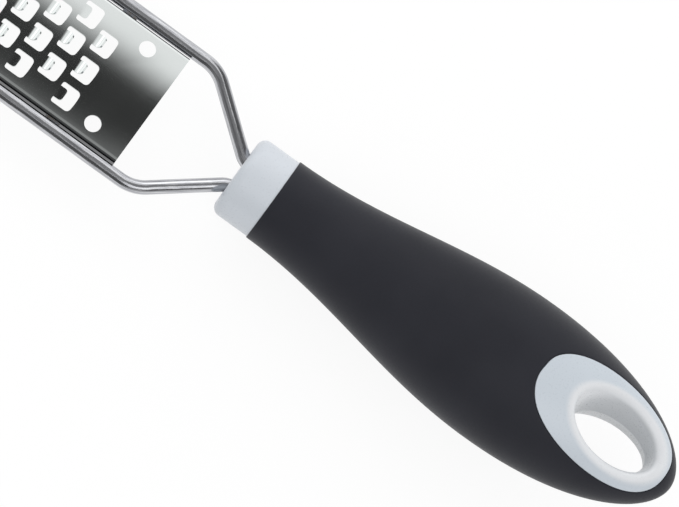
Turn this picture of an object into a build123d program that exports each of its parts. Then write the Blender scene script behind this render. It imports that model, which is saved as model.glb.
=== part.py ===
from build123d import *
import os
from math import atan, cos, degrees, pi, radians, sin, tan

# A coarse rasp zester: a punched steel plate held between the two rails of a bent rod,
# whose ends are clamped in the two halves of a moulded core, under a soft black grip.
# Everything is modelled lying level first, in millimetres: the origin is on the handle's axis just
# before the collar, +X runs along the tool to the tip of the frame and +Z is the cutting side.
# A reach is a distance from the origin, towards the tip on the frame and the plate and towards
# the tail on the collar and the handle.
# At the end the tool is laid down as it rests on a table, on its belly and the frame's end.

# Rod of the frame
rod_diameter = 3.5
rail_spacing = 37.0
rail_bend_reach = 17.7
rail_bend_radius = 10.0
frame_reach = 187.5
loop_radius = 9.0
tang_spacing = 7.0
tang_bend_depth = 0.5
tang_bend_radius = 5.0
tang_length = 48.0
hook_reach = 5.5
hook_radius = 3.5

# Grating plate
sheet = 0.5
plate_width = 32.5
plate_start = 24.6
plate_height = 1.6
flange_height = 3.0
fold_radius = 1.2
tooth_columns = 17
tooth_rows = 3
column_pitch = 6.83
row_pitch = 8.19
tooth_margin = 16.2
opening_length = 5.04
opening_width = 5.96
opening_corner = 1.1
opening_bulge = 0.25
arm_end_radius = 0.55
tongue_width = 3.3
tongue_length = 2.16
tongue_rise = 0.9
outer_tongue_rise = 0.2
tongue_corner = 0.8
pilot_diameter = 4.2
pilot_margin = 9.7
pilot_spacing = 23.4

# Weld tacks between the flanges and the rails
tack_length = 4.0
tack_height = 1.6
tacks_per_rail = 4
tack_margin = 18.0
tack_clearance = 0.05

# Collar
collar_diameter = 21.7
collar_front_reach = 0.5
collar_reach = 11.3
collar_edge_radius = 2.4
collar_wall = 3.0
nose_length = 8.0
rod_clearance = 0.1

# Grip and the form that it shares with the core; both tails are measured from the belly to the end
handle_reach = 129.5
neck_radius = 11.15
belly_half_width = 19.55
belly_half_thickness = 16.7
width_tail = 47.7
thickness_tail = 51.7
tail_curve_power = 2.11
tail_round_power = 0.533
neck_stations = 6
tail_stations = 7
tail_last_share = 0.975
grip_wall = 2.5
skin_clearance = 0.1

# Eyelet: the light patch of the core that shows in the grip, and the hanging hole through it
patch_tail_margin = 3.2
patch_length = 39.5
patch_width = 24.0
patch_round_power = 0.41
throat_tail_margin = 8.3
throat_length = 21.0
throat_width = 11.6
eye_draft = 9.0
rim_radius = 1.8
oval_points = 24

# Locating pegs of the core, in pairs between the hooks of the rod and the eyelet
peg_diameter = 3.6
peg_height = 5.0
peg_place_shares = (0.27, 0.63)
peg_spacing = 17.0
peg_clearance = 0.1

# One overrun for every cut
overrun = 5.0

rod_radius = rod_diameter / 2
rail_side = rail_spacing / 2
tang_side = tang_spacing / 2
collar_radius = collar_diameter / 2
nose_radius = collar_radius - collar_wall
loop_centre = frame_reach - rod_radius
plate_length = 2 * tooth_margin + (tooth_columns - 1) * column_pitch + opening_length
plate_end = plate_start + plate_length
width_belly_reach = handle_reach - width_tail
thickness_belly_reach = handle_reach - thickness_tail
patch_start = handle_reach - patch_tail_margin - patch_length
throat_start = handle_reach - throat_tail_margin - throat_length


# Rod

def rod_route():
    """Centre line of the rod: hook, tang, rail, far loop, and the same back again."""
    half = [
        (-tang_length, tang_side + hook_reach),
        (-tang_length, tang_side),
        (-tang_bend_depth, tang_side),
        (rail_bend_reach, rail_side),
        (loop_centre, rail_side),
    ]
    radii = [hook_radius, tang_bend_radius, rail_bend_radius, loop_radius]
    other_half = [(x, -y) for x, y in reversed(half)]
    return FilletPolyline(*half, *other_half, radius=radii + radii[::-1])


def swept_rod(diameter):
    """A round bar of this diameter along the rod's route."""
    route = rod_route()
    section = Plane(origin=route @ 0, z_dir=route % 0) * Circle(diameter / 2)
    return sweep(section, path=route)


# Grating plate

def folded_channel():
    """The sheet with both long edges folded down, without any hole."""
    outer_side = plate_width / 2
    inner_side = outer_side - sheet
    top = plate_height
    foot = plate_height - flange_height
    outside = FilletPolyline(
        (-outer_side, foot), (-outer_side, top), (outer_side, top), (outer_side, foot),
        radius=fold_radius,
    )
    inside = FilletPolyline(
        (inner_side, foot), (inner_side, top - sheet), (-inner_side, top - sheet), (-inner_side, foot),
        radius=fold_radius - sheet,
    )
    outline = Wire([
        *outside.edges(),
        Line((outer_side, foot), (inner_side, foot)),
        *inside.edges(),
        Line((-inner_side, foot), (-outer_side, foot)),
    ])
    across = Plane(origin=(plate_start, 0, 0), x_dir=(0, 1, 0), z_dir=(1, 0, 0))
    return extrude(across * make_face(outline), amount=plate_length)


def tooth_places():
    """Handle-side middle of each opening; neighbouring columns are staggered by half a row."""
    places = []
    for column in range(tooth_columns):
        stagger = row_pitch / 4 if column % 2 else -row_pitch / 4
        for row in range(tooth_rows):
            y = (row - (tooth_rows - 1) / 2) * row_pitch - stagger
            places.append((plate_start + tooth_margin + column * column_pitch, y))
    return places


def opening_face():
    """One punched opening, with its handle side bulging out a little."""
    side = opening_width / 2
    edges = [
        Line((opening_length, -side), (0, -side)),
        ThreePointArc((0, -side), (-opening_bulge, 0), (0, side)),
        Line((0, side), (opening_length, side)),
        Line((opening_length, side), (opening_length, -side)),
    ]
    opening = make_face(Wire(edges))
    opening = fillet(opening.vertices().group_by(Axis.X)[0], radius=opening_corner)
    return fillet(opening.vertices().group_by(Axis.X)[-1], radius=arm_end_radius)


def raised_tongue(rise):
    """The tongue curls up from its root on the tip side to a rounded edge facing the handle."""
    turn = 2 * atan(rise / tongue_length)
    bend_radius = tongue_length / sin(turn)
    centre = (opening_length, plate_height + bend_radius)
    upper = CenterArc(centre, bend_radius, 270, -degrees(turn))
    lower = CenterArc(centre, bend_radius + sheet, 270, -degrees(turn))
    side_face = make_face(Wire([
        upper,
        Line(upper @ 1, lower @ 1),
        lower,
        Line(lower @ 0, upper @ 0),
    ]))
    curl = extrude(Plane.XZ * side_face, amount=tongue_width / 2, both=True)
    plan_length = tongue_length + overrun
    plan = Pos(opening_length - tongue_length + plan_length / 2, 0) * Rectangle(plan_length, tongue_width)
    plan = fillet(plan.vertices().group_by(Axis.X)[0], radius=tongue_corner)
    trim = Pos(0, 0, plate_height - overrun) * extrude(plan, amount=2 * overrun)
    return curl & trim


def grating_plate():
    """Folded plate with its openings, raised tongues and pilot holes; the outermost teeth stand lower."""
    opening = opening_face()
    places = [Pos(x, y, 0) for x, y in tooth_places()]
    cut_start = Pos(0, 0, plate_height - sheet - fold_radius)
    cut_height = sheet + fold_radius + overrun
    openings = [place * cut_start * extrude(opening, amount=cut_height) for place in places]
    pilots = [
        Pos(x, y, 0) * cut_start * extrude(Circle(pilot_diameter / 2), amount=cut_height)
        for x in (plate_start + pilot_margin, plate_end - pilot_margin)
        for y in (-pilot_spacing / 2, pilot_spacing / 2)
    ]
    inner_tongue = raised_tongue(tongue_rise)
    outer_tongue = raised_tongue(outer_tongue_rise)
    outer_row = (tooth_rows - 1) / 2 * row_pitch
    tongues = [
        place * (outer_tongue if abs(place.position.Y) > outer_row else inner_tongue)
        for place in places
    ]
    return folded_channel() - openings - pilots + tongues


def weld_tacks():
    """Small welds that fill the gap between each flange and its rail."""
    rod = swept_rod(rod_diameter + 2 * tack_clearance)
    flange_side = plate_width / 2
    width = rail_side - flange_side
    step = (plate_length - 2 * tack_margin) / (tacks_per_rail - 1)
    tacks = []
    for side in (-1, 1):
        for index in range(tacks_per_rail):
            x = plate_start + tack_margin + index * step
            block = Pos(x, side * (flange_side + width / 2), 0) * Box(tack_length, width, tack_height)
            tacks.append((block - rod).solids().sort_by(Axis.Y)[0 if side > 0 else -1])
    return tacks


# Handle form

def bar(radius, start, end):
    """A round bar along X from start to end."""
    return Pos((start + end) / 2, 0, 0) * Rot(0, 90, 0) * Cylinder(radius, end - start)


def swell(share):
    """Smooth rise from nothing to one."""
    return (1 - cos(pi * share)) / 2


def profile(reach, belly, belly_reach, inset):
    """Half the handle's size at this reach: a swelling neck, then a round tail."""
    neck = neck_radius - inset
    if reach < belly_reach:
        share = (reach - collar_reach) / (belly_reach - collar_reach)
        return neck + (belly - inset - neck) * swell(share)
    share = (reach - belly_reach) / (handle_reach - inset - belly_reach)
    return (belly - inset) * (1 - share ** tail_curve_power) ** tail_round_power


def half_width(reach, inset):
    """Half the handle's width."""
    return profile(reach, belly_half_width, width_belly_reach, inset)


def half_thickness(reach, inset):
    """Half the handle's thickness."""
    return profile(reach, belly_half_thickness, thickness_belly_reach, inset)


def handle_form(inset):
    """Solid handle, drawn in by an inset all round: stations closer together towards the tail."""
    tail_length = handle_reach - inset - width_belly_reach
    reaches = [
        collar_reach + (width_belly_reach - collar_reach) * index / neck_stations
        for index in range(neck_stations)
    ]
    reaches += [
        width_belly_reach + tail_length * tail_last_share * sin(pi / 2 * index / tail_stations)
        for index in range(tail_stations + 1)
    ]
    sections = [
        Plane(origin=(-reach, 0, 0), x_dir=(0, 1, 0), z_dir=(-1, 0, 0))
        * Ellipse(half_width(reach, inset), half_thickness(reach, inset))
        for reach in reaches
    ]
    tail_tip = Vertex(-(handle_reach - inset), 0, 0)
    return loft([*sections, tail_tip])


# Eyelet

def oval_face(start, length, width):
    """Flat oval with fuller shoulders than an ellipse."""
    points = []
    for index in range(oval_points):
        angle = 2 * pi * index / oval_points
        side = 1 if angle < pi else -1
        y = side * width / 2 * (sin(angle) ** 2) ** patch_round_power
        points.append((-start - length * (1 - cos(angle)) / 2, y))
    return make_face(Wire([Spline(*points, periodic=True)]))


def patch_prism(grown):
    """Upright oval prism through the handle where the light patch shows."""
    face = oval_face(patch_start - grown, patch_length + 2 * grown, patch_width + 2 * grown)
    tall = belly_half_thickness + overrun
    return Pos(0, 0, -tall) * extrude(face, amount=2 * tall)


def hanging_hole():
    """Hole that opens both ways from its narrow throat in the middle plane."""
    tall = belly_half_thickness + overrun
    flare = tall * tan(radians(eye_draft))
    middle = -throat_start - throat_length / 2
    throat = Pos(middle, 0, 0) * Ellipse(throat_length / 2, throat_width / 2)
    mouth = Pos(middle, 0, tall) * Ellipse(throat_length / 2 + flare, throat_width / 2 + flare)
    upper = loft([throat, mouth], ruled=True)
    return upper + mirror(upper, about=Plane.XY)


# Core, collar and grip

def core_blank():
    """Whole core before it is parted: nose, inner form and the patch that reaches the surface."""
    nose = bar(nose_radius - skin_clearance, -collar_reach - grip_wall, nose_length - collar_reach)
    patch = handle_form(0) & patch_prism(0)
    return handle_form(grip_wall) + nose + patch


def eye_rims(core):
    """Edges of both mouths of the hanging hole: well inside the patch and lying, not upright."""
    rims = []
    for edge in core.edges():
        box = edge.bounding_box()
        inside = (
            box.max.X < -patch_start - rim_radius
            and box.min.X > -patch_start - patch_length + rim_radius
            and box.max.Y < patch_width / 2 - rim_radius
            and box.min.Y > -patch_width / 2 + rim_radius
        )
        lying = box.size.Z < box.size.X + box.size.Y
        if inside and lying and abs(box.center().Z) > rim_radius:
            rims.append(edge)
    return rims


def peg_places():
    """Where the pegs stand."""
    free_length = throat_start - tang_length
    reaches = [tang_length + free_length * share for share in peg_place_shares]
    return [(-reach, side * peg_spacing / 2) for reach in reaches for side in (-1, 1)]


def core_halves():
    """The two halves of the core, parted in the middle plane, with pegs in matching holes."""
    blank = core_blank() - hanging_hole()
    blank = fillet(eye_rims(blank), radius=rim_radius)
    blank = blank - swept_rod(rod_diameter + 2 * rod_clearance)
    top = split(blank, bisect_by=Plane.XY, keep=Keep.TOP)
    bottom = split(blank, bisect_by=Plane.XY, keep=Keep.BOTTOM)
    for x, y in peg_places():
        hole_radius = peg_diameter / 2 + peg_clearance
        depth = peg_height + peg_clearance
        top = top - Pos(x, y, depth / 2) * Cylinder(hole_radius, depth)
        bottom = bottom + Pos(x, y, peg_height / 2) * Cylinder(peg_diameter / 2, peg_height)
    return top, bottom


def collar():
    """Ferrule over the nose of the core, with a rounded front edge and two ways for the rod."""
    ring = bar(collar_radius, -collar_reach, -collar_front_reach)
    front = ring.edges().group_by(Axis.X)[-1]
    ring = fillet(front, radius=collar_edge_radius)
    ring = ring - bar(nose_radius, -collar_reach - overrun, nose_length + skin_clearance - collar_reach)
    return ring - swept_rod(rod_diameter + 2 * rod_clearance)


def grip():
    """Soft sleeve round the core, with a window for the patch on each face."""
    sleeve = handle_form(0) - handle_form(grip_wall - skin_clearance)
    return sleeve - patch_prism(skin_clearance)


# Rest pose

def grip_floor(lean):
    """Height of the belly's lowest point once the tool leans by this angle."""
    samples = 400
    reaches = [collar_reach + (handle_reach - collar_reach) * i / samples for i in range(samples)]
    return min(reach * sin(lean) - half_thickness(reach, 0) * cos(lean) for reach in reaches)


def loop_floor(lean):
    """Height of the far loop's underside at the same lean."""
    return -loop_centre * sin(lean) - rod_radius


def resting_lean():
    """Angle at which the belly and the far loop stand on one level."""
    low = 0.0
    high = radians(10)
    for _ in range(50):
        middle = (low + high) / 2
        if loop_floor(middle) > grip_floor(middle):
            low = middle
        else:
            high = middle
    return low


core_top, core_bottom = core_halves()
parts = {
    "wire_frame": swept_rod(rod_diameter),
    "grating_plate": grating_plate(),
    "weld_tacks": Compound(weld_tacks()),
    "collar": collar(),
    "core_top": core_top,
    "core_bottom": core_bottom,
    "grip": grip(),
}

lean = Rot(0, degrees(resting_lean()), 0)
leaned = Compound([lean * piece for piece in parts.values()])
box = leaned.bounding_box()
rest = Pos(-box.center().X, -box.center().Y, -box.min.Z) * lean

os.makedirs("parts", exist_ok=True)
for name, piece in parts.items():
    export_step(rest * piece, f"parts/{name}.step")
print(f"leans {degrees(resting_lean()):.4f} degrees, moved {-box.center().X:.4f} along X and {-box.min.Z:.4f} up")
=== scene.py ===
from math import asin, atan, atan2, cos, pi, radians, sin, sqrt

import bmesh
import bpy
import numpy as np
from mathutils import Matrix, Vector


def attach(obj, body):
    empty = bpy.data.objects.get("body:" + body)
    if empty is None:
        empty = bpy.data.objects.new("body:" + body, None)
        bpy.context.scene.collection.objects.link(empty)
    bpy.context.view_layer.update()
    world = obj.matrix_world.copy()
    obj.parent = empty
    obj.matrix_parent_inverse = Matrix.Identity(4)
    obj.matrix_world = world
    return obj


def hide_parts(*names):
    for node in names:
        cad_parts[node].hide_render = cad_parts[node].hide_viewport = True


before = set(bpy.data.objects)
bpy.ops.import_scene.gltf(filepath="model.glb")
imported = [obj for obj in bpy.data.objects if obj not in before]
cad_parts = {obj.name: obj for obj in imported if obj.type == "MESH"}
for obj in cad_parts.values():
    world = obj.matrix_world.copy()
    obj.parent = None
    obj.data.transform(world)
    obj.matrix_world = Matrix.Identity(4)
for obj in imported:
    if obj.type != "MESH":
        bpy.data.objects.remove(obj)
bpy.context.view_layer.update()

# A coarse rasp zester lying on a pale studio floor. Shapes are laid out level, in millimetres, as in the part's
# source: the origin is on the handle's axis just before the collar, +X runs to the tip of the frame, +Z is the
# cutting side, a reach is a distance from the origin, and a side is a distance from the middle of the tool or of a
# tooth. LAID_DOWN puts them on the table, in metres.
MM = 0.001
LEAN = radians(3.3054)
SHIFT_X = -28.9518
SHIFT_Z = 12.4600
LAID_DOWN = Matrix.Scale(MM, 4) @ Matrix.Translation((SHIFT_X, 0, SHIFT_Z)) @ Matrix.Rotation(LEAN, 4, "Y")


# Small helpers

SAME_POINT = 1e-4
NO_LENGTH = 1e-5


def laid(x, y, z):
    """A point of the level tool, where it is on the table."""
    return LAID_DOWN @ Vector((x, y, z))


def linear(hexcode):
    """An sRGB hex colour as the linear RGBA that a socket takes."""
    channels = [int(hexcode[i:i + 2], 16) / 255 for i in (0, 2, 4)]
    return (*(c / 12.92 if c <= 0.04045 else ((c + 0.055) / 1.055) ** 2.4 for c in channels), 1.0)


def per_mm(size):
    """Texture scale for a pattern whose features are this many millimetres wide."""
    return 1 / (size * MM)


def feed(tree, made, inputs):
    """Gives a node's inputs, each keyed by its name or number, a socket to link or a plain value."""
    for key, value in inputs.items():
        if isinstance(value, bpy.types.NodeSocket):
            tree.links.new(value, made.inputs[key])
        else:
            made.inputs[key].default_value = value


def node(tree, kind, inputs=None, **settings):
    """Adds a node with its settings and its inputs."""
    made = tree.nodes.new(kind)
    for key, value in settings.items():
        setattr(made, key, value)
    feed(tree, made, inputs or {})
    return made


def link_object(name, data):
    """A new object at the origin, in the scene."""
    made = bpy.data.objects.new(name, data)
    bpy.context.scene.collection.objects.link(made)
    return made


def mesh_from(name, points, faces):
    """A mesh with doubled points merged and every face turned outwards."""
    shape = bmesh.new()
    corners = [shape.verts.new(point) for point in points]
    for face in faces:
        shape.faces.new([corners[i] for i in face])
    bmesh.ops.remove_doubles(shape, verts=shape.verts, dist=SAME_POINT)
    bmesh.ops.dissolve_degenerate(shape, edges=shape.edges, dist=NO_LENGTH)
    bmesh.ops.recalc_face_normals(shape, faces=shape.faces)
    mesh = bpy.data.meshes.new(name)
    shape.to_mesh(mesh)
    shape.free()
    return mesh


def shade(mesh, sharp_degrees=35):
    """Smooth shading with edges over this angle kept sharp."""
    mesh.polygons.foreach_set("use_smooth", [True] * len(mesh.polygons))
    mesh.set_sharp_from_angle(angle=radians(sharp_degrees))


def finish_piece(piece, replaced, material):
    """Lays the piece down in its mesh, gives it its finish and lets it stand for its CAD node."""
    piece.data.transform(LAID_DOWN)
    piece.data.materials.clear()
    piece.data.materials.append(material)
    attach(piece, "root")
    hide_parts(replaced)


def made_plain(holder, name):
    """The holder's modifiers worked out into a new object with a plain mesh; the holder goes away."""
    depsgraph = bpy.context.evaluated_depsgraph_get()
    mesh = bpy.data.meshes.new_from_object(holder.evaluated_get(depsgraph))
    holder.modifiers.clear()
    bpy.data.objects.remove(holder)
    mesh.name = name
    return link_object(name, mesh)


def recipe(name, sockets):
    """A geometry node tree with named inputs, and the sockets that its group input gives."""
    tree = bpy.data.node_groups.new(name, "GeometryNodeTree")
    tree.interface.new_socket("Geometry", in_out="INPUT", socket_type="NodeSocketGeometry")
    for label, kind in sockets.items():
        tree.interface.new_socket(label, in_out="INPUT", socket_type=f"NodeSocket{kind}")
    tree.interface.new_socket("Geometry", in_out="OUTPUT", socket_type="NodeSocketGeometry")
    return tree, node(tree, "NodeGroupInput").outputs


def apply_recipe(holder, tree, values):
    """Adds the tree as a modifier and sets its inputs by their identifiers."""
    modifier = holder.modifiers.new(tree.name, "NODES")
    modifier.node_group = tree
    for item in tree.interface.items_tree:
        if item.item_type == "SOCKET" and item.in_out == "INPUT" and item.name in values:
            modifier[item.identifier] = values[item.name]


def end_recipe(tree, geometry, material):
    """Realize Instances, Set Material and the output."""
    real = node(tree, "GeometryNodeRealizeInstances", {"Geometry": geometry})
    painted = node(tree, "GeometryNodeSetMaterial", {"Geometry": real.outputs[0], "Material": material})
    node(tree, "NodeGroupOutput", {"Geometry": painted.outputs[0]})


def math_node(tree, operation, *values):
    """Output of a Math node."""
    return node(tree, "ShaderNodeMath", dict(enumerate(values)), operation=operation).outputs[0]


def part_of(tree, vector, axis):
    """One coordinate of a vector."""
    return node(tree, "ShaderNodeSeparateXYZ", {0: vector}).outputs[axis]


def smooth_step(tree, value, start, end, low, high):
    """Passes smoothly from low to high as the value goes from start to end."""
    return node(tree, "ShaderNodeMapRange", {
        "Value": value, "From Min": start, "From Max": end, "To Min": low, "To Max": high,
    }, interpolation_type="SMOOTHSTEP").outputs["Result"]


def level_mix(tree, factor, start, end):
    """Passes from one level to another as the factor goes from 0 to 1."""
    return node(tree, "ShaderNodeMix", {"Factor": factor, "A": start, "B": end}, data_type="FLOAT").outputs[0]


def colour_mix(tree, factor, start, end):
    """Passes from one colour to another as the factor goes from 0 to 1."""
    return node(tree, "ShaderNodeMix", {"Factor": factor, "A": start, "B": end}, data_type="RGBA").outputs[2]


# Camera, at the photograph's angle: above the tool, tipped 18 degrees towards its +Y side

IMAGE_WIDTH = 679
FOCAL_PIXELS = 6265.62
CAMERA_PLACE = (8.79, 470.93, 1429.61)
CAMERA_TURNS = (("X", -18.1899), ("Y", 1.5473), ("Z", -144.0440))

camera_data = bpy.data.cameras.new("camera")
camera_data.lens = camera_data.sensor_width * FOCAL_PIXELS / IMAGE_WIDTH
camera_data.clip_start = 0.01
camera = link_object("camera", camera_data)
camera.matrix_world = Matrix.Translation(laid(*CAMERA_PLACE)) @ Matrix.Rotation(LEAN, 4, "Y")
for axis, degrees in CAMERA_TURNS:
    camera.matrix_world = camera.matrix_world @ Matrix.Rotation(radians(degrees), 4, axis)
bpy.context.scene.camera = camera
bpy.context.scene.view_settings.view_transform = "Standard"


# Studio. Polished steel shows the walls round the tool: a pale one behind it, whose foot is in shade, dim ones to
# its sides, in front and past the handle, and darkness between them. Matt surfaces are lit by a tent that is
# brightest behind the tool. The camera sees plain white.

BEHIND = (0.58, -0.81)
BESIDE = (0.81, 0.58)
PAST_HANDLE = (-0.95, -0.31)
DARK_WALL = 0.034
PALE_WALL = 1.25
SHADED_FOOT = 0.6
SIDE_WALL = 0.28
FRONT_WALL = 0.55
HANDLE_WALL = 0.8
TENT = 1.15
TENT_UPWARD = -0.8
TENT_BEHIND = 0.3
TENT_TO_TIP = -0.25

world = bpy.data.worlds.new("studio")
bpy.context.scene.world = world
world.use_nodes = True
sky = world.node_tree
sky.nodes.clear()
direction = node(sky, "ShaderNodeTexCoord").outputs["Generated"]
to_tip, to_left, upward = (part_of(sky, direction, axis) for axis in "XYZ")


def facing(level_direction):
    """How nearly a ray goes in this level direction."""
    return math_node(sky, "ADD", math_node(sky, "MULTIPLY", to_tip, level_direction[0]),
                     math_node(sky, "MULTIPLY", to_left, level_direction[1]))


behind = facing(BEHIND)
beside = facing(BESIDE)
beside_squared = math_node(sky, "MULTIPLY", beside, beside)
above_foot = math_node(sky, "ADD", upward, beside_squared)
foot_shade = smooth_step(sky, above_foot, 0.22, 0.36, SHADED_FOOT, 1.0)
pale_wall = math_node(sky, "MULTIPLY", smooth_step(sky, behind, 0.58, 0.8, DARK_WALL, PALE_WALL), foot_shade)
front_wall = smooth_step(sky, behind, -0.82, -0.97, 0.0, FRONT_WALL)
handle_wall = smooth_step(sky, facing(PAST_HANDLE), 0.955, 0.985, 0.0, HANDLE_WALL)
walls = math_node(sky, "MULTIPLY", beside_squared, SIDE_WALL)
for wall in (pale_wall, front_wall, handle_wall):
    walls = math_node(sky, "ADD", walls, wall)
tent = TENT
for way, gain in ((upward, TENT_UPWARD), (behind, TENT_BEHIND), (to_tip, TENT_TO_TIP)):
    tent = math_node(sky, "ADD", math_node(sky, "MULTIPLY", way, gain), tent)
seen = node(sky, "ShaderNodeLightPath")
straight = math_node(sky, "MAXIMUM", seen.outputs["Is Camera Ray"], seen.outputs["Is Transmission Ray"])
level = level_mix(sky, straight, level_mix(sky, seen.outputs["Is Diffuse Ray"], walls, tent), 1.0)
background = node(sky, "ShaderNodeBackground", {"Color": linear("FFFFFF"), "Strength": level})
node(sky, "ShaderNodeOutputWorld", {"Surface": background.outputs[0]})


def softbox(name, place, width, depth, radiance, feather=0.0, aim=None):
    """An area lamp at a place in metres, shining straight down unless it is aimed at a point. Its +Y edge, or its -Y
    edge for a negative feather, fades out over that share of its depth."""
    lamp = bpy.data.lights.new(name, "AREA")
    lamp.shape = "RECTANGLE"
    lamp.size = width
    lamp.size_y = depth
    lamp.energy = radiance * pi * width * depth
    if feather:
        lamp.use_nodes = True
        tree = lamp.node_tree
        tree.nodes.clear()
        across = node(tree, "ShaderNodeNewGeometry").outputs["Parametric"]
        edge = 1.0 if feather > 0 else 0.0
        fade = smooth_step(tree, part_of(tree, across, "Y"), edge, edge - feather, 0.0, 1.0)
        emission = node(tree, "ShaderNodeEmission", {"Strength": fade})
        node(tree, "ShaderNodeOutputLight", {0: emission.outputs[0]})
    made = link_object(name, lamp)
    made.location = place
    if aim:
        made.rotation_euler = (Vector(aim) - Vector(place)).to_track_quat("-Z", "Y").to_euler()
    made.visible_camera = False


softbox("softbox_behind", (0.435, -0.4568, 0.50), width=0.93, depth=0.586, radiance=1.03, feather=0.025)
softbox("card_overhead", (0.10, 0.2975, 1.20), width=1.2, depth=1.35, radiance=0.28, feather=-0.025)
softbox("softbox_before_handle", (-0.42, 0.47, 0.95), width=0.8, depth=0.6, radiance=1.4, aim=(0, 0, 0))


# Floor: white paper that keeps the tool's shadow, and looks white to the camera and in the steel

FLOOR_REACH = 3
PAPER_WHITE = 1.05
PAPER_WHITE_SHARE = 0.86

floor_mesh = mesh_from("floor", [
    (-FLOOR_REACH, -FLOOR_REACH, 0), (FLOOR_REACH, -FLOOR_REACH, 0),
    (FLOOR_REACH, FLOOR_REACH, 0), (-FLOOR_REACH, FLOOR_REACH, 0),
], [(0, 1, 2, 3)])
floor = link_object("floor", floor_mesh)
paper = bpy.data.materials.new("white_seamless_paper")
paper.use_nodes = True
sheet = paper.node_tree
sheet.nodes.clear()
matt = node(sheet, "ShaderNodeBsdfDiffuse", {"Color": linear("E4E4E4")})
white = node(sheet, "ShaderNodeEmission", {"Color": linear("FFFFFF"), "Strength": PAPER_WHITE})
ray = node(sheet, "ShaderNodeLightPath")
direct = math_node(sheet, "MAXIMUM", ray.outputs["Is Camera Ray"], ray.outputs["Is Glossy Ray"])
direct = math_node(sheet, "MAXIMUM", direct, ray.outputs["Is Transmission Ray"])
mixed = node(sheet, "ShaderNodeMixShader", {
    0: math_node(sheet, "MULTIPLY", direct, PAPER_WHITE_SHARE), 1: matt.outputs[0], 2: white.outputs[0],
})
node(sheet, "ShaderNodeOutputMaterial", {"Surface": mixed.outputs[0]})
floor.data.materials.append(paper)


# Sizes of the rod, of the punched plate and of the painted highlight on the lip round the hanging hole

ROD_DIAMETER = 3.5
SHEET = 0.5
PLATE_SIDE = 16.25
PLATE_START = 24.6
PLATE_TOP = 1.6
FLANGE = 3.0
FOLD = 1.2
FOLD_STEPS = 8
COLUMNS = 17
ROWS = 3
COLUMN_PITCH = 6.83
ROW_PITCH = 8.19
TOOTH_MARGIN = 16.2
OPENING_LENGTH = 5.04
OPENING_SIDE = 2.98
OPENING_CORNER = 1.1
CORNER_STEPS = 5
OPENING_BULGE = 0.25
BULGE_TURN = 4
BULGE_STEPS = 8
ARM_END = 0.55
ARM_STEPS = 4
TONGUE_SIDE = 1.65
TONGUE_LENGTH = 2.16
TONGUE_RISE = 0.9
OUTER_TONGUE_RISE = 0.2
TONGUE_CORNER = 0.8
TIP_CROWDING = 1.6
CUT_DEPTH = 1.6
CUT_HEADROOM = 1.0
PILOT_RADIUS = 2.1
PILOT_MARGIN = 9.7
PILOT_SIDE = 11.7
PILOT_PIN = 4.0
PILOT_STEPS = 48
PLATE_LENGTH = 2 * TOOTH_MARGIN + (COLUMNS - 1) * COLUMN_PITCH + OPENING_LENGTH
HOLE_MIDDLE = -110.7
HOLE_LIP_LENGTH = 26.5
HOLE_LIP_WIDTH = 17.2


# Materials

NOISE_LOW = 0.3
NOISE_HIGH = 0.7
# Painted shade in the seams between the plate and the rails: faint on the -Y side, dark on the +Y side
FAINT_SEAM_SHADE = "AEAFB2"
DARK_SEAM_SHADE = "434447"
DIE_LINE_SQUEEZE = 0.06
GRAIN_DEPTH = 0.04


def finish(name):
    """A material with one shader, its tree and object coordinates."""
    made = bpy.data.materials.new(name)
    made.use_nodes = True
    tree = made.node_tree
    tree.nodes.clear()
    shader = node(tree, "ShaderNodeBsdfPrincipled")
    node(tree, "ShaderNodeOutputMaterial", {"Surface": shader.outputs["BSDF"]})
    return made, tree, shader, node(tree, "ShaderNodeTexCoord").outputs["Object"]


def stretched(tree, vector, scale):
    """The vector with each axis scaled, so that a noise becomes streaks."""
    return node(tree, "ShaderNodeMapping", {"Vector": vector, "Scale": scale}).outputs[0]


def noise(tree, vector, size, detail=2.0):
    """Grey noise with features of this many millimetres."""
    made = node(tree, "ShaderNodeTexNoise", {"Vector": vector, "Scale": per_mm(size), "Detail": detail})
    return made.outputs["Fac"]


def ramp(tree, value, start, end, low, high):
    """Passes evenly from low to high as the value goes from start to end."""
    return node(tree, "ShaderNodeMapRange", {
        "Value": value, "From Min": start, "From Max": end, "To Min": low, "To Max": high,
    }).outputs["Result"]


def spread(tree, value, low, high):
    """Maps the middle of a noise's range to low and high."""
    return ramp(tree, value, NOISE_LOW, NOISE_HIGH, low, high)


def tint(tree, value, dark, light):
    """A colour between two hex colours, chosen by a noise."""
    return colour_mix(tree, spread(tree, value, 0.0, 1.0), linear(dark), linear(light))


def grain_bump(tree, height, strength):
    """A surface normal roughened by a fine grain."""
    return node(tree, "ShaderNodeBump", {
        "Height": height, "Strength": strength, "Distance": GRAIN_DEPTH * MM,
    }).outputs[0]


def by_side(tree, place, near, far):
    """0 to 1 as a point's distance from the tool's middle plane goes from near to far, in millimetres."""
    side = math_node(tree, "ABSOLUTE", part_of(tree, place, "Y"))
    return ramp(tree, side, near * MM, far * MM, 0.0, 1.0)


def seam_shaded(tree, place, seam, clean):
    """The clean colour with painted shade where the seam is 1: faint on the -Y side,
    and dark on the +Y side."""
    side = math_node(tree, "GREATER_THAN", part_of(tree, place, "Y"), 0.0)
    return colour_mix(tree, seam, clean, colour_mix(tree, side, linear(FAINT_SEAM_SHADE), linear(DARK_SEAM_SHADE)))


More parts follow.
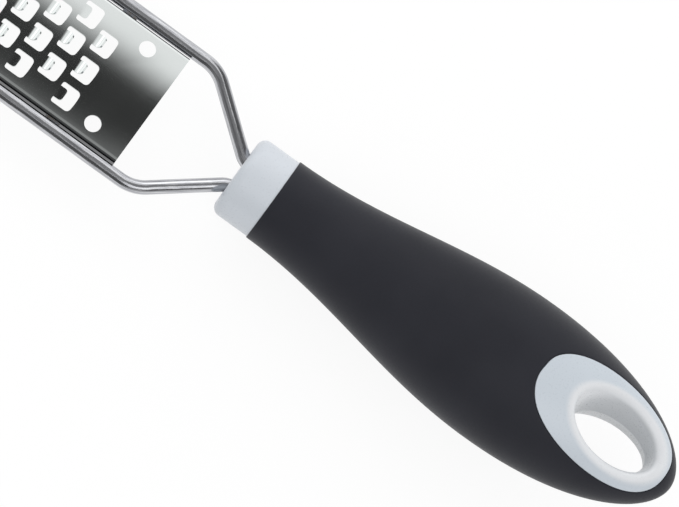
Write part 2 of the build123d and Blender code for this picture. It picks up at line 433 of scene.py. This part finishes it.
def rolled_sheet():
    """Cold-rolled stainless sheet with a bright annealed finish: mirrors softly, with a grain along the rolling
    direction, faint cloudiness from handling, and painted shade in the seam beside each rail."""
    made, tree, shader, place = finish("rolled_stainless_sheet")
    grain = noise(tree, stretched(tree, place, (0.03, 1, 1)), 0.35)
    clouds = noise(tree, place, 14.0)
    both = math_node(tree, "ADD", math_node(tree, "MULTIPLY", grain, 0.5), math_node(tree, "MULTIPLY", clouds, 0.5))
    feed(tree, shader, {
        # Painted shade darkens the plate's folds where they meet the rails
        "Base Color": seam_shaded(tree, place, by_side(tree, place, 15.7, 16.1), linear("D6DAD9")),
        "Metallic": 1.0,
        "Roughness": spread(tree, both, 0.038, 0.05),
    })
    return made


def drawn_wire():
    """Drawn stainless wire, polished: bright, with fine die lines along its length, and painted shade in the seam
    where it lies beside the plate."""
    made, tree, shader, place = finish("drawn_stainless_wire")
    along = node(tree, "ShaderNodeAttribute", attribute_name="along").outputs["Fac"]
    around = node(tree, "ShaderNodeAttribute", attribute_name="around").outputs["Fac"]
    angle = math_node(tree, "MULTIPLY", around, 2 * pi)
    radius = ROD_DIAMETER / 2 * MM
    lines = node(tree, "ShaderNodeCombineXYZ", {
        0: math_node(tree, "MULTIPLY", along, DIE_LINE_SQUEEZE * MM),
        1: math_node(tree, "MULTIPLY", math_node(tree, "SINE", angle), radius),
        2: math_node(tree, "MULTIPLY", math_node(tree, "COSINE", angle), radius),
    })
    streak = noise(tree, lines.outputs[0], 0.4, 3.0)
    plate_middle = (PLATE_START + PLATE_LENGTH / 2 + SHIFT_X) * MM
    beside_plate = math_node(tree, "COMPARE", part_of(tree, place, "X"), plate_middle, PLATE_LENGTH / 2 * MM)
    inward = math_node(tree, "SUBTRACT", 1.0, by_side(tree, place, 16.9, 17.5))
    seam = math_node(tree, "MULTIPLY", inward, beside_plate)
    feed(tree, shader, {
        # Painted shade darkens the rails' inner sides beside the plate
        "Base Color": seam_shaded(tree, place, seam, tint(tree, streak, "A2A3A8", "D4D5D8")),
        "Metallic": 1.0,
        "Roughness": spread(tree, streak, 0.26, 0.10),
        "Normal": grain_bump(tree, streak, 1.0),
    })
    return made


def weld_bead():
    """Resistance weld in stainless: dull grey with a faint straw and blue heat tint."""
    made, tree, shader, place = finish("heat_tinted_weld")
    clouds = noise(tree, place, 1.2)
    feed(tree, shader, {
        "Base Color": tint(tree, clouds, "76706A", "868C94"),
        "Metallic": 1.0,
        "Roughness": spread(tree, clouds, 0.25, 0.45),
    })
    return made


def hole_colour_with_painted_highlight(tree, place):
    """The colour round the hanging hole by how far out a point lies, where the lip's middle line lies at 1: the
    greyer wall, then a painted highlight on the lip, then the plain surface."""
    wall = "D3D6D9"
    lip = "E9EBEE"
    plain = "D0D8E0"
    farthest = 2
    level = node(tree, "ShaderNodeMapping", {
        "Vector": place, "Location": (LAID_DOWN.inverted() @ Vector((0, 0, 0)) - Vector((HOLE_MIDDLE, 0, 0))),
        "Rotation": (0, -LEAN, 0), "Scale": [1 / MM] * 3,
    }).outputs[0]
    along = math_node(tree, "DIVIDE", part_of(tree, level, "X"), HOLE_LIP_LENGTH / 2)
    across = math_node(tree, "DIVIDE", part_of(tree, level, "Y"), HOLE_LIP_WIDTH / 2)
    squares = [math_node(tree, "POWER", share, 2.0) for share in (along, across)]
    out = math_node(tree, "SQRT", math_node(tree, "ADD", *squares))
    made = node(tree, "ShaderNodeValToRGB", {"Fac": math_node(tree, "DIVIDE", out, farthest)})
    stops = made.color_ramp
    stops.interpolation = "EASE"
    # The two lip stops paint a highlight round the rim; the wall stop is a greyer tint
    for stop, hexcode in ((0.82, wall), (0.92, lip), (1.04, lip), (1.20, plain)):
        stops.elements.new(stop / farthest).color = linear(hexcode)
    stops.elements[0].color = linear(wall)
    stops.elements[-1].color = linear(plain)
    return made.outputs["Color"]


def moulded_polypropylene(name, with_hole):
    """Injection-moulded polypropylene, satin from a fine spark-eroded mould: pale bluish grey. Round the hanging hole
    the lip carries a painted highlight, and the wall is greyer."""
    made, tree, shader, place = finish(name)
    colour = hole_colour_with_painted_highlight(tree, place) if with_hole else tint(tree, noise(tree, place, 25.0), "D3D9E0", "D8DDE4")
    feed(tree, shader, {
        "Base Color": colour,
        "IOR": 1.49,
        "Roughness": spread(tree, noise(tree, place, 0.5), 0.26, 0.34),
    })
    return made


def soft_touch():
    """Thermoplastic elastomer moulded over the core, with a soft-touch grain: near-black, matt, and paler where it
    is seen at a flat angle. The real grain is finer than the picture shows, so it is drawn coarser."""
    made, tree, shader, place = finish("soft_touch_elastomer")
    grain = noise(tree, place, 0.45, 3.0)
    feed(tree, shader, {
        "Base Color": tint(tree, noise(tree, place, 22.0), "282930", "2E2F36"),
        "IOR": 1.48,
        "Specular IOR Level": 0.2,
        "Sheen Weight": 0.2,
        "Sheen Roughness": 0.4,
        "Roughness": spread(tree, grain, 0.52, 0.64),
        "Normal": grain_bump(tree, grain, 0.25),
    })
    return made


SHEET_STEEL = rolled_sheet()
WIRE_STEEL = drawn_wire()
WELD_STEEL = weld_bead()
COLLAR_PLASTIC = moulded_polypropylene("moulded_polypropylene_collar", False)
CORE_PLASTIC = moulded_polypropylene("moulded_polypropylene_core", True)
BLACK_RUBBER = soft_touch()


# Wire frame: one rod bent round the plate, its hooked ends hidden in the core

RAIL_SIDE = 18.5
LOOP_CENTRE = 185.75

# Corners of the rod's middle line on the +Y side, from its hooked end: place along the tool, side, and bend radius
ROD_ROUTE = [
    (-48.0, 9.0, 0.0),
    (-48.0, 3.5, 3.5),
    (-0.5, 3.5, 5.0),
    (17.7, RAIL_SIDE, 10.0),
    (LOOP_CENTRE, RAIL_SIDE, 9.0),
]


def bent_rod():
    """The rod follows its corners, each rounded to its own bend radius, and each point on it remembers how far along
    and how far around the rod it lies."""
    corners = ROD_ROUTE + [(x, -y, bend) for x, y, bend in reversed(ROD_ROUTE)]
    mesh = bpy.data.meshes.new("rod_route")
    mesh.from_pydata([(x, y, 0) for x, y, _ in corners], [(i, i + 1) for i in range(len(corners) - 1)], [])
    bends = mesh.attributes.new("bend", "FLOAT", "POINT")
    bends.data.foreach_set("value", [bend for _, _, bend in corners])
    tree, given = recipe("bent_rod", {
        "Rod diameter": "Float", "Steps per bend": "Int", "Steps around": "Int", "Material": "Material",
    })
    route = node(tree, "GeometryNodeMeshToCurve", {"Mesh": given["Geometry"]})
    bend = node(tree, "GeometryNodeInputNamedAttribute", {"Name": "bend"}, data_type="FLOAT")
    rounded = node(tree, "GeometryNodeFilletCurve", {
        "Curve": route.outputs[0], "Radius": bend.outputs[0], "Count": given["Steps per bend"],
    }, mode="POLY")
    place = node(tree, "GeometryNodeSplineParameter")
    marked = node(tree, "GeometryNodeStoreNamedAttribute", {
        "Geometry": rounded.outputs[0], "Name": "along", "Value": place.outputs["Length"],
    }, data_type="FLOAT", domain="POINT")
    radius = math_node(tree, "MULTIPLY", given["Rod diameter"], 0.5)
    circle = node(tree, "GeometryNodeCurvePrimitiveCircle", {
        "Resolution": given["Steps around"], "Radius": radius,
    })
    turn = node(tree, "GeometryNodeSplineParameter")
    ring = node(tree, "GeometryNodeStoreNamedAttribute", {
        "Geometry": circle.outputs[0], "Name": "around", "Value": turn.outputs["Factor"],
    }, data_type="FLOAT", domain="POINT")
    rod = node(tree, "GeometryNodeCurveToMesh", {
        "Curve": marked.outputs[0], "Profile Curve": ring.outputs[0], "Fill Caps": True,
    })
    smooth = node(tree, "GeometryNodeSetShadeSmooth", {"Geometry": rod.outputs[0]})
    end_recipe(tree, smooth.outputs[0], given["Material"])
    holder = link_object("rod_holder", mesh)
    apply_recipe(holder, tree, {
        "Rod diameter": ROD_DIAMETER, "Steps per bend": 20, "Steps around": 40, "Material": WIRE_STEEL,
    })
    return made_plain(holder, "bent_rod")


finish_piece(bent_rod(), "wire_frame", WIRE_STEEL)


# Grating plate: a folded sheet, punched by one repeated tooth

def arc(centre, radius, start, end, steps):
    """Points on an arc in a plane; angles in degrees."""
    angles = [radians(start + (end - start) * i / steps) for i in range(steps + 1)]
    return [(centre[0] + radius * cos(a), centre[1] + radius * sin(a)) for a in angles]


def joined_rows(first, second, closed):
    """Quads between two rows of point numbers, which may be closed into rings."""
    count = len(first)
    return [(first[i], first[(i + 1) % count], second[(i + 1) % count], second[i])
            for i in range(count if closed else count - 1)]


def prism(name, outline, low, high):
    """An upright prism on a plan outline."""
    count = len(outline)
    points = [(x, y, z) for z in (low, high) for x, y in outline]
    floor_row = range(count)
    roof_row = range(count, 2 * count)
    faces = [tuple(floor_row), tuple(roof_row)] + joined_rows(floor_row, roof_row, closed=True)
    return mesh_from(name, points, faces)


def folded_sheet():
    """The sheet with both long edges folded down, before it is punched."""
    foot = PLATE_TOP - FLANGE

    def section(side, top, radius):
        """Half a section from the foot of a flange up and round the fold."""
        return [(side, foot)] + arc((side - radius, top - radius), radius, 0, 90, FOLD_STEPS)

    outer = section(PLATE_SIDE, PLATE_TOP, FOLD)
    inner = section(PLATE_SIDE - SHEET, PLATE_TOP - SHEET, FOLD - SHEET)
    outer += [(-y, z) for y, z in reversed(outer)]
    inner += [(-y, z) for y, z in reversed(inner)]
    loop = outer + inner[::-1]
    count = len(loop)
    half = count // 2
    points = [(x, y, z) for x in (PLATE_START, PLATE_START + PLATE_LENGTH) for y, z in loop]
    faces = joined_rows(range(count), range(count, 2 * count), closed=True)
    for end in (0, count):
        faces += [(end + i, end + i + 1, end + count - 2 - i, end + count - 1 - i) for i in range(half - 1)]
    return mesh_from("folded_sheet", points, faces)


def opening_outline():
    """Plan of one punched opening: rounded, its handle side bulging out a little. The corners stop short of a
    quarter turn, where the bulge takes over."""
    bulge_radius = (OPENING_SIDE ** 2 + OPENING_BULGE ** 2) / (2 * OPENING_BULGE)
    corner_side = OPENING_SIDE - OPENING_CORNER
    bulge = [(bulge_radius - OPENING_BULGE - sqrt(bulge_radius ** 2 - y * y), y)
             for y in [corner_side * (1 - 2 * i / BULGE_STEPS) for i in range(BULGE_STEPS + 1)]]
    shoulder = bulge[0][0] + OPENING_CORNER
    arm_side = OPENING_SIDE - ARM_END
    arm = OPENING_LENGTH - ARM_END
    outline = arc((arm, arm_side), ARM_END, 0, 90, ARM_STEPS)
    outline += arc((shoulder, corner_side), OPENING_CORNER, 90, 180 - BULGE_TURN, CORNER_STEPS)
    outline += bulge[1:-1]
    outline += arc((shoulder, -corner_side), OPENING_CORNER, 180 + BULGE_TURN, 270, CORNER_STEPS)
    outline += arc((arm, -arm_side), ARM_END, 270, 360, ARM_STEPS)
    return outline


def curled_tongue(name, rise):
    """The tongue curls up from its root to a rounded edge that faces the handle."""
    turn = 2 * atan(rise / TONGUE_LENGTH)
    bend = TONGUE_LENGTH / sin(turn)
    deep = bend + SHEET
    steps = 12
    across = 6
    upper = []
    lower = []
    for i in range(steps + 1):
        run = TONGUE_LENGTH * (1 - (1 - i / steps) ** TIP_CROWDING)
        past = max(0.0, run - (TONGUE_LENGTH - TONGUE_CORNER))
        side = TONGUE_SIDE - TONGUE_CORNER + sqrt(max(0.0, TONGUE_CORNER ** 2 - past ** 2))
        angle = asin(min(1.0, run / bend))
        for j in range(across + 1):
            y = side * (2 * j / across - 1)
            upper.append((OPENING_LENGTH - bend * sin(angle), y, PLATE_TOP + bend * (1 - cos(angle))))
            lower.append((OPENING_LENGTH - deep * sin(angle), y, PLATE_TOP + bend - deep * cos(angle)))
    width = across + 1
    skins = [[range(start + i * width, start + (i + 1) * width) for i in range(steps + 1)]
             for start in (0, len(upper))]
    faces = []
    for skin in skins:
        for row, following in zip(skin, skin[1:]):
            faces += joined_rows(row, following, closed=False)
    upper_rows, lower_rows = skins
    for end in (0, steps):
        faces += joined_rows(upper_rows[end], lower_rows[end], closed=False)
    for side in (0, across):
        faces += joined_rows([row[side] for row in upper_rows], [row[side] for row in lower_rows], closed=False)
    return mesh_from(name, upper + lower, faces)


def pilot_pins():
    """Upright pins that punch the pilot holes near the sheet's corners."""
    pins = bmesh.new()
    for x in (PLATE_START + PILOT_MARGIN, PLATE_START + PLATE_LENGTH - PILOT_MARGIN):
        for y in (-PILOT_SIDE, PILOT_SIDE):
            bmesh.ops.create_cone(
                pins, cap_ends=True, segments=PILOT_STEPS, radius1=PILOT_RADIUS, radius2=PILOT_RADIUS,
                depth=PILOT_PIN, matrix=Matrix.Translation((x, y, PLATE_TOP)),
            )
    mesh = bpy.data.meshes.new("pilots")
    pins.to_mesh(mesh)
    pins.free()
    return mesh


def tooth_spots(tree, given):
    """A point for every tooth, column after column, each column shifted by half a row against the next. A tooth's
    rank is its distance from the middle, in rows."""
    count = math_node(tree, "MULTIPLY", given["Columns"], given["Rows"])
    line = node(tree, "GeometryNodeMeshLine", {"Count": count})
    index = node(tree, "GeometryNodeInputIndex").outputs[0]
    column = math_node(tree, "FLOOR", math_node(tree, "DIVIDE", index, given["Rows"]))
    row = math_node(tree, "SUBTRACT", index, math_node(tree, "MULTIPLY", column, given["Rows"]))
    middle = math_node(tree, "MULTIPLY", math_node(tree, "SUBTRACT", given["Rows"], 1.0), 0.5)
    odd = math_node(tree, "MODULO", column, 2.0)
    stagger = math_node(tree, "MULTIPLY", math_node(tree, "SUBTRACT", 0.5, odd), 0.5)
    rank = math_node(tree, "ADD", math_node(tree, "SUBTRACT", row, middle), stagger)
    place = node(tree, "ShaderNodeCombineXYZ", {
        0: math_node(tree, "ADD", math_node(tree, "MULTIPLY", column, given["Column pitch"]), given["First column"]),
        1: math_node(tree, "MULTIPLY", rank, given["Row pitch"]),
        2: 0.0,
    })
    spots = node(tree, "GeometryNodeSetPosition", {"Geometry": line.outputs[0], "Position": place.outputs[0]})
    return spots.outputs[0], rank


def punched_plate():
    """The folded sheet less its pilot holes and staggered openings, each opening with its raised tongue. The tongues
    of the outermost ranks rise less than the others."""
    opening = prism("opening", opening_outline(), PLATE_TOP - CUT_DEPTH, PLATE_TOP + CUT_HEADROOM)
    helpers = {
        "Pilots": link_object("pilots", pilot_pins()),
        "Opening": link_object("opening", opening),
        "Tongue": link_object("tongue", curled_tongue("tongue", TONGUE_RISE)),
        "Outer tongue": link_object("outer_tongue", curled_tongue("outer_tongue", OUTER_TONGUE_RISE)),
    }
    tree, given = recipe("punched_plate", {
        "Columns": "Int", "Rows": "Int", "Column pitch": "Float", "Row pitch": "Float", "First column": "Float",
        **{name: "Object" for name in helpers}, "Material": "Material",
    })
    shapes = {
        name: node(tree, "GeometryNodeObjectInfo", {"Object": given[name]}).outputs["Geometry"]
        for name in helpers
    }
    spots, rank = tooth_spots(tree, given)
    outermost = node(tree, "FunctionNodeCompare", {"A": math_node(tree, "ABSOLUTE", rank), "B": 1.0},
                     data_type="FLOAT", operation="GREATER_THAN").outputs[0]
    inner = node(tree, "FunctionNodeBooleanMath", {0: outermost}, operation="NOT").outputs[0]

    def repeated(shape, chosen=True):
        """A copy of the shape at each chosen spot."""
        return node(tree, "GeometryNodeInstanceOnPoints", {
            "Points": spots, "Instance": shapes[shape], "Selection": chosen,
        }).outputs[0]

    cutters = node(tree, "GeometryNodeRealizeInstances", {"Geometry": repeated("Opening")}).outputs[0]
    cut = node(tree, "GeometryNodeMeshBoolean", {"Mesh 1": given["Geometry"]}, operation="DIFFERENCE", solver="EXACT")
    for cutter in (cutters, shapes["Pilots"]):
        tree.links.new(cutter, cut.inputs["Mesh 2"])
    joined = node(tree, "GeometryNodeJoinGeometry")
    for geometry in (repeated("Tongue", inner), repeated("Outer tongue", outermost), cut.outputs["Mesh"]):
        tree.links.new(geometry, joined.inputs[0])
    end_recipe(tree, joined.outputs[0], given["Material"])
    holder = link_object("plate_holder", folded_sheet())
    apply_recipe(holder, tree, {
        "Columns": COLUMNS, "Rows": ROWS, "Column pitch": COLUMN_PITCH, "Row pitch": ROW_PITCH,
        "First column": PLATE_START + TOOTH_MARGIN, "Material": SHEET_STEEL, **helpers,
    })
    piece = made_plain(holder, "punched_plate")
    for helper in helpers.values():
        bpy.data.objects.remove(helper)
    shade(piece.data)
    level_faces = piece.modifiers.new("level_faces", "WEIGHTED_NORMAL")
    level_faces.keep_sharp = True
    return made_plain(piece, "punched_plate")


finish_piece(punched_plate(), "grating_plate", SHEET_STEEL)


# Grip: a closed skin that follows the handle's form, with a rolled lip round each window

COLLAR_REACH = 11.3
HANDLE_REACH = 129.5
NECK_RADIUS = 11.15
BELLY_HALF_WIDTH = 19.55
BELLY_HALF_THICKNESS = 16.7
WIDTH_TAIL = 47.7
THICKNESS_TAIL = 51.7
TAIL_CURVE_POWER = 2.11
TAIL_ROUND_POWER = 0.533
PATCH_TAIL_MARGIN = 3.2
PATCH_LENGTH = 39.5
PATCH_WIDTH = 24.0
SKIN_CLEARANCE = 0.1
GRIP_WALL = 2.5 - SKIN_CLEARANCE
WINDOW_LENGTH = PATCH_LENGTH + 2 * SKIN_CLEARANCE
WINDOW_WIDTH = PATCH_WIDTH + 2 * SKIN_CLEARANCE
WINDOW_MIDDLE = HANDLE_REACH - PATCH_TAIL_MARGIN - PATCH_LENGTH / 2
WINDOW_POWER = 0.41
WINDOW_STEPS = 720
ROLLED_LIP = 0.45
FRONT_LIP_SHARE = 0.6
RING_START = 78.0
RING_CROWDING = 1.25
AROUND = 48
ALONG_TAIL = 36
LIP_STEPS = 5
RINGS = 16
BANDS = 44
FRONT_LIP_STEPS = 3


def profile(reach, belly, tail, inset):
    """Half the handle's size at this reach, this far under its surface: a swelling neck, then a round tail."""
    belly_reach = HANDLE_REACH - tail
    neck = NECK_RADIUS - inset
    if reach < belly_reach:
        swell = (1 - cos(pi * (reach - COLLAR_REACH) / (belly_reach - COLLAR_REACH))) / 2
        return neck + (belly - inset - neck) * swell
    share = min(1.0, (reach - belly_reach) / (tail - inset))
    return (belly - inset) * (1 - share ** TAIL_CURVE_POWER) ** TAIL_ROUND_POWER


def half_sizes(reach, inset):
    """Half the width and half the thickness."""
    return (
        profile(reach, BELLY_HALF_WIDTH, WIDTH_TAIL, inset),
        profile(reach, BELLY_HALF_THICKNESS, THICKNESS_TAIL, inset),
    )


def on_form(point, inset, sunk=0.0):
    """The point moved outwards from the axis onto the handle's form, then sunk into it."""
    width, thickness = half_sizes(-point.x, inset)
    if width < NO_LENGTH:
        return Vector((point.x, 0, 0))
    size = sqrt((point.y / width) ** 2 + (point.z / thickness) ** 2)
    y = point.y / size
    z = point.z / size
    outward = Vector((0, y / width ** 2, z / thickness ** 2)).normalized()
    return Vector((point.x, y, z)) - outward * sunk


def window_point(polar, inset):
    """Where a ray at this angle from the window's middle meets its edge, on the form."""
    angles = np.linspace(0, 2 * pi, WINDOW_STEPS + 1)
    along = WINDOW_LENGTH / 2 * np.cos(angles)
    side = np.sign(np.sin(angles)) * WINDOW_WIDTH / 2 * np.abs(np.sin(angles)) ** (2 * WINDOW_POWER)
    side[::WINDOW_STEPS // 2] = 0
    polars = np.unwrap(np.arctan2(side, along))
    angle = float(np.interp(polar % (2 * pi), polars, angles))
    reach = WINDOW_MIDDLE - WINDOW_LENGTH / 2 * cos(angle)
    y = WINDOW_WIDTH / 2 * abs(sin(angle)) ** (2 * WINDOW_POWER) * (1 if angle < pi else -1)
    width, thickness = half_sizes(reach, inset)
    return Vector((-reach, y, thickness * sqrt(max(0.0, 1 - (y / width) ** 2))))


def field_edge(inset):
    """Edge of the ring field: across the belly, then along both sides to the tail."""
    width, thickness = half_sizes(RING_START, inset)
    belly = [Vector((-RING_START, width * cos(pi * i / AROUND), thickness * sin(pi * i / AROUND)))
             for i in range(AROUND + 1)]
    tail = HANDLE_REACH - inset - RING_START
    reaches = [RING_START + tail * sin(pi / 2 * j / ALONG_TAIL) for j in range(1, ALONG_TAIL)]
    far = [Vector((-reach, -half_sizes(reach, inset)[0], 0)) for reach in reaches]
    near = [Vector((-reach, half_sizes(reach, inset)[0], 0)) for reach in reversed(reaches)]
    return belly + far + [Vector((-(HANDLE_REACH - inset), 0, 0))] + near


def lip_point(size, share):
    """How far back and how deep a rolled lip lies: on the skin for a share of 0, at the very edge for 1."""
    angle = pi / 2 * share
    return size * (1 - sin(angle)), size * (1 - cos(angle))


def grip_skin():
    """Both faces of the skin share one layout: rings round each window, then bands up to the collar."""
    points = []
    faces = []

    def add_row(places):
        """Adds a row of points and gives their numbers."""
        points.extend(places)
        return range(len(points) - len(places), len(points))

    def face_of_skin(inset, lip):
        """Adds one face of the skin and gives its rows at the windows' edges and at the collar."""
        edge = field_edge(inset)
        rims = [window_point(atan2(point.y, WINDOW_MIDDLE + point.x), inset) for point in field_edge(0)]
        steps = [(*lip_point(lip, 1 - k / LIP_STEPS), 0.0) for k in range(LIP_STEPS + 1)]
        steps += [(lip, 0.0, (k / RINGS) ** RING_CROWDING) for k in range(1, RINGS + 1)]
        front_lip = lip * FRONT_LIP_SHARE
        bands = [(COLLAR_REACH + front_lip, 0.0, k / BANDS) for k in range(1, BANDS + 1)]
        for k in range(1, FRONT_LIP_STEPS + 1):
            back, sunk = lip_point(front_lip, k / FRONT_LIP_STEPS)
            bands.append((COLLAR_REACH + back, sunk, 1.0))
        window_rows = []
        front_rows = []
        for half in (1, -1):
            rings = []
            for out, sunk, share in steps:
                places = []
                for rim, end in zip(rims, edge):
                    fraction = min(1.0, out / (end - rim).length)
                    fraction += (1 - fraction) * share
                    if share == 1.0:
                        place = end.copy()
                    elif inset and share == 0.0:
                        place = rim.copy()
                    else:
                        place = on_form(rim.lerp(end, fraction), inset, sunk)
                    place.z *= half
                    places.append(place)
                rings.append(add_row(places))
            for ring, following in zip(rings, rings[1:]):
                faces.extend(joined_rows(ring, following, closed=True))
            window_rows.append(rings[0])
            last = rings[-1][:AROUND + 1]
            for goal, sunk, share in bands:
                reach = RING_START + (goal - RING_START) * share
                width, thickness = half_sizes(reach, inset + sunk)
                angles = [pi * i / AROUND for i in range(AROUND + 1)]
                row = add_row([Vector((-reach, width * cos(a), half * thickness * sin(a))) for a in angles])
                faces.extend(joined_rows(last, row, closed=False))
                last = row
            front_rows.append(last)
        return window_rows, front_rows

    outer_windows, outer_fronts = face_of_skin(0.0, ROLLED_LIP)
    inner_windows, inner_fronts = face_of_skin(GRIP_WALL, 0.0)
    for outer, inner in zip(outer_windows, inner_windows):
        faces.extend(joined_rows(outer, inner, closed=True))
    for outer, inner in zip(outer_fronts, inner_fronts):
        faces.extend(joined_rows(outer, inner, closed=False))
    mesh = mesh_from("grip_skin", points, faces)
    shade(mesh, sharp_degrees=50)
    return link_object("grip_skin", mesh)


finish_piece(grip_skin(), "grip", BLACK_RUBBER)


# Pieces whose CAD shape is right keep it and get their finish

for name, material in {
    "weld_tacks": WELD_STEEL,
    "collar": COLLAR_PLASTIC,
    "core_top": CORE_PLASTIC,
    "core_bottom": CORE_PLASTIC,
}.items():
    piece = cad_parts[name]
    for material_slot in piece.material_slots:
        material_slot.material = material
